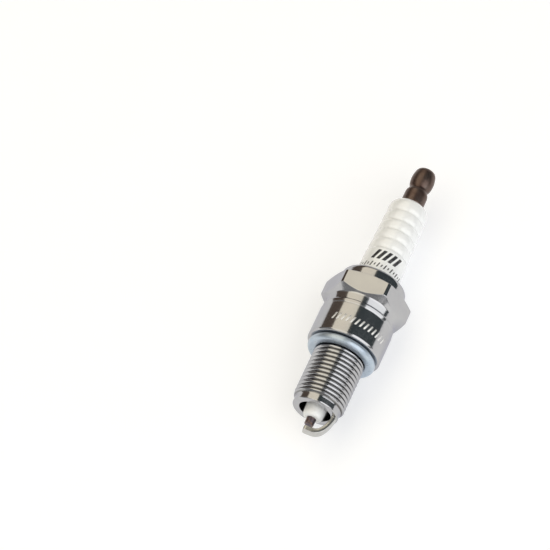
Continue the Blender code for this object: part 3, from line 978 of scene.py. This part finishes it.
def area_light(name, width, length, power, colour):
    data = bpy.data.lights.new(name, "AREA")
    data.shape = "RECTANGLE"
    data.size = width
    data.size_y = length
    data.energy = power
    data.color = colour
    lamp = bpy.data.objects.new(name, data)
    bpy.context.scene.collection.objects.link(lamp)
    return lamp


def overhead_light():
    """Lights the plug from above without showing in its bright metal."""
    lamp = area_light("overhead_soft", OVERHEAD_SIZE, OVERHEAD_SIZE, OVERHEAD_POWER, (1.0, 1.0, 1.0))
    back = direction(*OVERHEAD_DIRECTION)
    lamp.location = back * OVERHEAD_DISTANCE
    lamp.rotation_mode = "QUATERNION"
    lamp.rotation_quaternion = back.to_track_quat("Z", "Y")
    lamp.visible_glossy = False


def strip_light(name, angle, half_angle, reach, radiance, colour):
    """A long light over the plug, which shows in its metal as a bright band."""
    start_y, end_y = reach
    width = 2 * STRIP_DISTANCE * math.tan(half_angle)
    length = end_y - start_y
    lamp = area_light(name, width, length, radiance * math.pi * width * length, colour)
    across = STRIP_DISTANCE * math.sin(angle)
    lamp.location = (across, (start_y + end_y) / 2, STRIP_DISTANCE * math.cos(angle))
    lamp.rotation_euler = (0.0, angle, 0.0)


def make_world():
    """A dark room, brown on the -X side, with a grey wall in front and a pale one far behind."""
    world = bpy.data.worlds.new("studio")
    world.use_nodes = True
    tree = world.node_tree
    split = tree.nodes.new("ShaderNodeSeparateXYZ")
    coordinates = tree.nodes.new("ShaderNodeTexCoord").outputs["Generated"]
    tree.links.new(coordinates, split.inputs["Vector"])

    def share(axis, start, end):
        node = tree.nodes.new("ShaderNodeMapRange")
        node.inputs["From Min"].default_value = start
        node.inputs["From Max"].default_value = end
        tree.links.new(split.outputs[axis], node.inputs["Value"])
        return node.outputs["Result"]

    def blend(factor, first, second):
        node = tree.nodes.new("ShaderNodeMix")
        node.data_type = "RGBA"
        tree.links.new(factor, node.inputs["Factor"])
        for socket, value in ((node.inputs["A"], first), (node.inputs["B"], second)):
            if isinstance(value, tuple):
                socket.default_value = (*value, 1.0)
            else:
                tree.links.new(value, socket)
        return node.outputs["Result"]

    sides = blend(share("X", -0.3, 0.1), ROOM_BROWN, ROOM_SLATE)
    front = blend(share("Y", -0.12, -0.42), sides, FRONT_WALL)
    colour = blend(share("Y", 0.88, 0.96), front, FAR_WALL)
    tree.links.new(colour, tree.nodes["Background"].inputs["Color"])
    bpy.context.scene.world = world


def make_camera():
    data = bpy.data.cameras.new("camera")
    data.lens = CAMERA_LENS
    data.sensor_width = CAMERA_SENSOR
    data.clip_start = 0.01
    data.clip_end = 10.0
    camera = bpy.data.objects.new("camera", data)
    back = direction(*CAMERA_DIRECTION)
    camera.location = CAMERA_AIM + back * CAMERA_DISTANCE
    camera.rotation_mode = "QUATERNION"
    camera.rotation_quaternion = (-back).to_track_quat("-Z", "Y") @ Quaternion((0, 0, 1), CAMERA_ROLL)
    bpy.context.scene.collection.objects.link(camera)
    bpy.context.scene.camera = camera


nickel = nickel_plating()
steel = plain_metal("plain_steel", (0.42, 0.41, 0.39), (0.58, 0.57, 0.55), 0.26, 0.42)
hook_metal = plain_metal("bright_ground_alloy", (0.47, 0.465, 0.45), (0.54, 0.535, 0.52),
                         0.13, 0.24, 1500.0)

make_shell(nickel)
make_marks("shell_marks", mark_row(**SHELL_BARS), BODY_RADIUS, frosted_nickel())
make_insulator(glazed_ceramic())
ink = fired_ink()
make_marks("insulator_stripes", mark_row(**INSULATOR_STRIPES), NECKED_RADIUS, ink)
make_marks("insulator_ticks", mark_row(**INSULATOR_TICKS), NECKED_RADIUS, ink)
make_terminal_nut(dark_bronze())
make_terminal_stud(steel)
make_centre_electrode(centre_alloy())
make_gasket(zinc_plating())
make_ground_electrode(hook_metal)
make_weld(hook_metal)
dress_inner_pieces(steel)

make_floor()
overhead_light()
strip_light("warm_strip", **WARM_STRIP)
strip_light("white_strip", **WHITE_STRIP)
make_world()
make_camera()
bpy.context.scene.view_settings.view_transform = "Standard"
